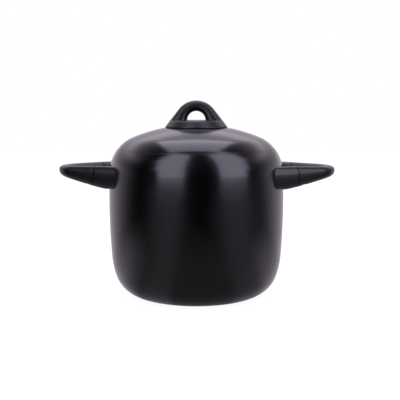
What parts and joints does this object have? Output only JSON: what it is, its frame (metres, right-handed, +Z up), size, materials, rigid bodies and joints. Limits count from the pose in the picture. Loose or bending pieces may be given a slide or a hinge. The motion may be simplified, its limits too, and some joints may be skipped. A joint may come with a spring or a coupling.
{
  "type": "cooking pot",
  "caption": "Round lidded cooking pot with a barrel-shaped body, domed lid, loop knob on a flared foot and two loop side handles, all black.",
  "frame": {"origin": "centre of the flat base, on the surface that the pot stands on", "axes": "+Z up along the pot's axis, +X to the right-hand handle, -Y to the front that the picture shows"},
  "size_m": [0.365, 0.231, 0.2582],
  "materials": {
    "pot_coating": "smooth satin black coating on pressed aluminium",
    "lid_coating": "smooth satin black coating on pressed aluminium",
    "knob_bakelite": "moulded black phenolic, soft sheen",
    "grip_bakelite": "moulded black phenolic, soft sheen",
    "ferrule_enamel": "black stoved enamel on pressed steel",
    "bracket_steel": "plain pressed steel",
    "rivet_aluminium": "plain aluminium",
    "zinc_steel": "zinc-plated steel",
    "brass": "turned brass"
  },
  "bodies": {
    "root": {"pot_body": "pot_coating", "lid": "lid_coating", "knob": "knob_bakelite", "knob_insert": "brass", "knob_screw": "zinc_steel", "knob_washer": "zinc_steel", "left_grip": "grip_bakelite", "right_grip": "grip_bakelite", "left_front_ferrule": "ferrule_enamel", "left_rear_ferrule": "ferrule_enamel", "right_front_ferrule": "ferrule_enamel", "right_rear_ferrule": "ferrule_enamel", "left_front_bracket": "bracket_steel", "left_rear_bracket": "bracket_steel", "right_front_bracket": "bracket_steel", "right_rear_bracket": "bracket_steel", "left_front_rivets": "rivet_aluminium", "left_rear_rivets": "rivet_aluminium", "right_front_rivets": "rivet_aluminium", "right_rear_rivets": "rivet_aluminium", "left_front_screw": "zinc_steel", "left_rear_screw": "zinc_steel", "right_front_screw": "zinc_steel", "right_rear_screw": "zinc_steel"}
  },
  "joints": []
}
